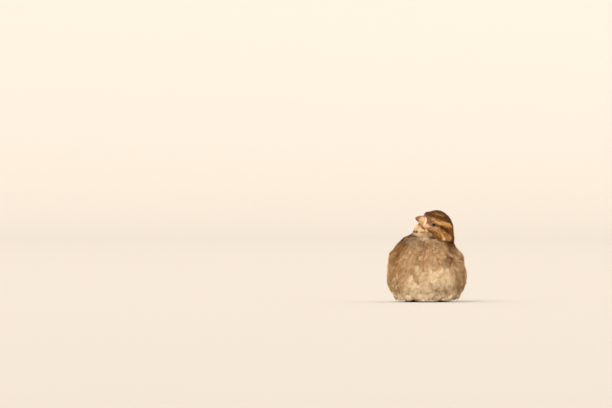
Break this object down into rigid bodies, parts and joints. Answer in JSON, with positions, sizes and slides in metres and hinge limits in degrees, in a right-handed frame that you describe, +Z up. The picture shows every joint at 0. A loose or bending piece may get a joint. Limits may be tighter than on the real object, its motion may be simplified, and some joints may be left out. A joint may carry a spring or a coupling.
{
  "type": "house sparrow",
  "caption": "Life-size still house sparrow, plumage fluffed up and head cocked to its right, standing low on both feet.",
  "frame": {"origin": "on the floor, under the middle of the bird's outline as seen from above", "axes": "+Z up, the breast faces -Y, the tail points along +Y, the bird's own left is +X"},
  "size_m": [0.0724, 0.1222, 0.0841],
  "materials": {
    "plumage_breast": "soft fluffed breast and belly feathers, grey-buff",
    "plumage_neck": "soft ruff feathers, buff-brown",
    "plumage_head": "short close head feathers, brown with a buff brow",
    "plumage_wing": "vaned feathers, dark brown with buff edges",
    "plumage_tail": "vaned feathers, grey-brown with pale edges",
    "bill_horn": "satin horn, buff with a dusky tip",
    "eye": "wet gloss, near black",
    "leg_skin": "dry scaled skin, pinkish brown",
    "claw_horn": "semi-gloss horn, dark"
  },
  "bodies": {
    "root": {"head": "plumage_head", "neck": "plumage_neck", "trunk": "plumage_breast", "wing_left": "plumage_wing", "wing_right": "plumage_wing", "tail": "plumage_tail", "bill_upper": "bill_horn", "bill_lower": "bill_horn", "eye_left": "eye", "eye_right": "eye", "leg_left": "leg_skin", "leg_right": "leg_skin", "claw_left_inner": "claw_horn", "claw_left_middle": "claw_horn", "claw_left_outer": "claw_horn", "claw_left_hind": "claw_horn", "claw_right_inner": "claw_horn", "claw_right_middle": "claw_horn", "claw_right_outer": "claw_horn", "claw_right_hind": "claw_horn"}
  },
  "joints": []
}
